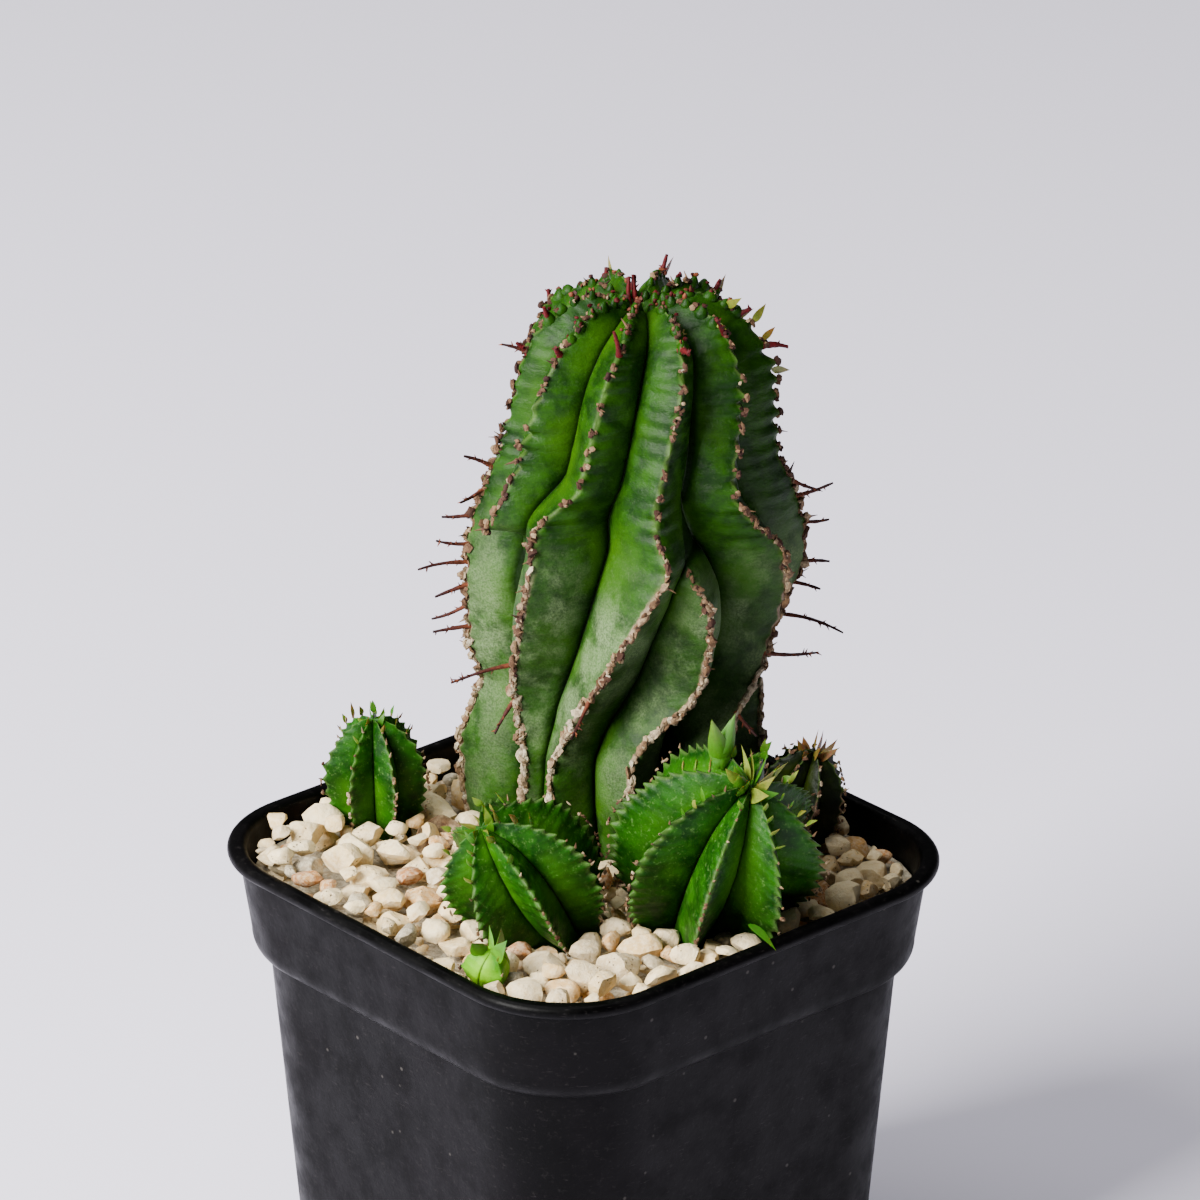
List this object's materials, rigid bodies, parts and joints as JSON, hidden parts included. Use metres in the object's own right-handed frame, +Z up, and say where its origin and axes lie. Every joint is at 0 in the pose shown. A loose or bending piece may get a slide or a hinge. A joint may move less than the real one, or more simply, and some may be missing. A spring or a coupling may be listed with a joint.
{
  "type": "potted euphorbia",
  "caption": "Ribbed, spiny succulent euphorbia with small offsets round its foot, in a square black plastic nursery pot topped with pale gravel.",
  "frame": {"origin": "on the surface the pot stands on, under the middle of the pot's rim", "axes": "+Z up; the pot's flat sides face +X, -X, +Y and -Y; the tall stem stands towards the +X +Y corner"},
  "size_m": [0.0902, 0.0915, 0.1746],
  "materials": {
    "black_plastic": "satin moulded, dusty and lightly scuffed",
    "earth": "matt crumbs",
    "pale_stone": "matt, rough, faintly porous",
    "green_skin": "waxy skin with a grey-green bloom",
    "young_green_skin": "waxy, slightly glossy skin",
    "dark_green_skin": "dull, half dried skin",
    "dry_twig": "dry, matt",
    "husk": "dry, papery"
  },
  "bodies": {
    "root": {"pot": "black_plastic", "potting_soil": "earth", "gravel_bed": "pale_stone", "main_stem": "green_skin", "offset_front_left": "young_green_skin", "offset_front_right": "young_green_skin", "offset_back_left": "young_green_skin", "offset_back_right": "dark_green_skin", "sprout_front": "young_green_skin", "rim_leaf": "young_green_skin", "dry_husk": "husk", "spine_01": "dry_twig", "spine_02": "dry_twig", "spine_03": "dry_twig", "spine_04": "dry_twig", "spine_05": "dry_twig", "spine_06": "dry_twig", "spine_07": "dry_twig", "spine_08": "dry_twig", "spine_09": "dry_twig", "spine_10": "dry_twig", "spine_11": "dry_twig", "spine_12": "dry_twig", "spine_13": "dry_twig", "spine_14": "dry_twig", "spine_15": "dry_twig", "spine_16": "dry_twig", "spine_17": "dry_twig", "spine_18": "dry_twig", "spine_19": "dry_twig", "spine_20": "dry_twig", "spine_21": "dry_twig", "spine_22": "dry_twig", "spine_23": "dry_twig", "spine_24": "dry_twig", "stone_01": "pale_stone", "stone_02": "pale_stone", "stone_03": "pale_stone", "stone_04": "pale_stone", "stone_05": "pale_stone", "stone_06": "pale_stone", "stone_07": "pale_stone", "stone_08": "pale_stone", "stone_09": "pale_stone", "stone_10": "pale_stone", "stone_11": "pale_stone", "stone_12": "pale_stone", "stone_13": "pale_stone", "stone_14": "pale_stone", "stone_15": "pale_stone", "stone_16": "pale_stone", "stone_17": "pale_stone", "stone_18": "pale_stone", "stone_19": "pale_stone", "stone_20": "pale_stone"}
  },
  "joints": []
}
